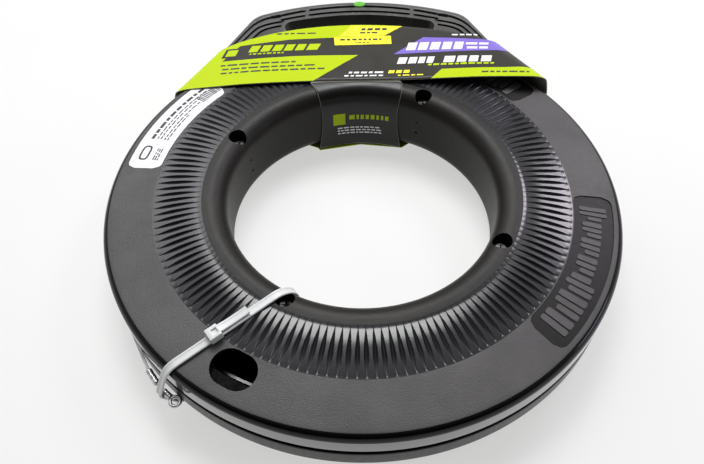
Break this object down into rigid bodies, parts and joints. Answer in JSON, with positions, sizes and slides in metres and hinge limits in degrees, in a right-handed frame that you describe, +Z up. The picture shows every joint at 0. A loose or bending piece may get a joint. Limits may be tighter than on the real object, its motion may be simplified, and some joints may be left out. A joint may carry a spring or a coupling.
{
  "type": "fish tape reel",
  "caption": "Round fish tape reel: a black two-part ring case holding a steel pulling tape, with a sliding grip handle, printed card sleeve and a cable tie",
  "frame": {"origin": "centre of the open hub, on the plane the reel rests on", "axes": "+Z up along the hub axis, +Y from the hub towards the handle"},
  "size_m": [0.3048, 0.3478, 0.0519],
  "materials": {
    "case_plastic": "fine-grain textured, moulded black",
    "handle_plastic": "satin moulded black",
    "tape_steel": "oiled spring steel",
    "bright_steel": "bright",
    "black_steel": "black oxide",
    "nylon_natural": "satin, slightly translucent",
    "label_film": "gloss printed film",
    "printed_card": "coated board, printed",
    "sticker_yellow": "satin",
    "badge_green": "gloss"
  },
  "bodies": {
    "case": {"case_top_shell": "case_plastic", "case_bottom_shell": "case_plastic", "case_screws": "black_steel", "tape_coil": "tape_steel", "tape_inner_lead": "tape_steel", "tape_anchor": "black_steel", "anchor_rivet": "tape_steel", "tape_slot_run": "tape_steel", "tape_tail": "tape_steel", "leader_crimp_rear": "bright_steel", "leader_cable": "bright_steel", "leader_crimp_front": "bright_steel", "leader_eye": "bright_steel", "case_label": "label_film", "cable_tie": "nylon_natural"},
    "handle": {"handle_top_half": "handle_plastic", "handle_bottom_half": "handle_plastic", "handle_screws": "black_steel", "handle_badge": "badge_green", "runner_shoe_right": "nylon_natural", "runner_shoe_left": "nylon_natural", "tape_guide": "bright_steel", "tape_feed": "tape_steel", "card_sleeve": "printed_card", "sleeve_sticker_length": "sticker_yellow", "sleeve_sticker_stock": "sticker_yellow"}
  },
  "joints": [
    {"name": "handle_slide", "type": "hinge", "parent": "case", "child": "handle", "pos_m": [0, 0, 0.0247], "axis": [0, 0, 1], "range_deg": [-150, 55], "deforming": ["tape_slot_run"]}
  ]
}
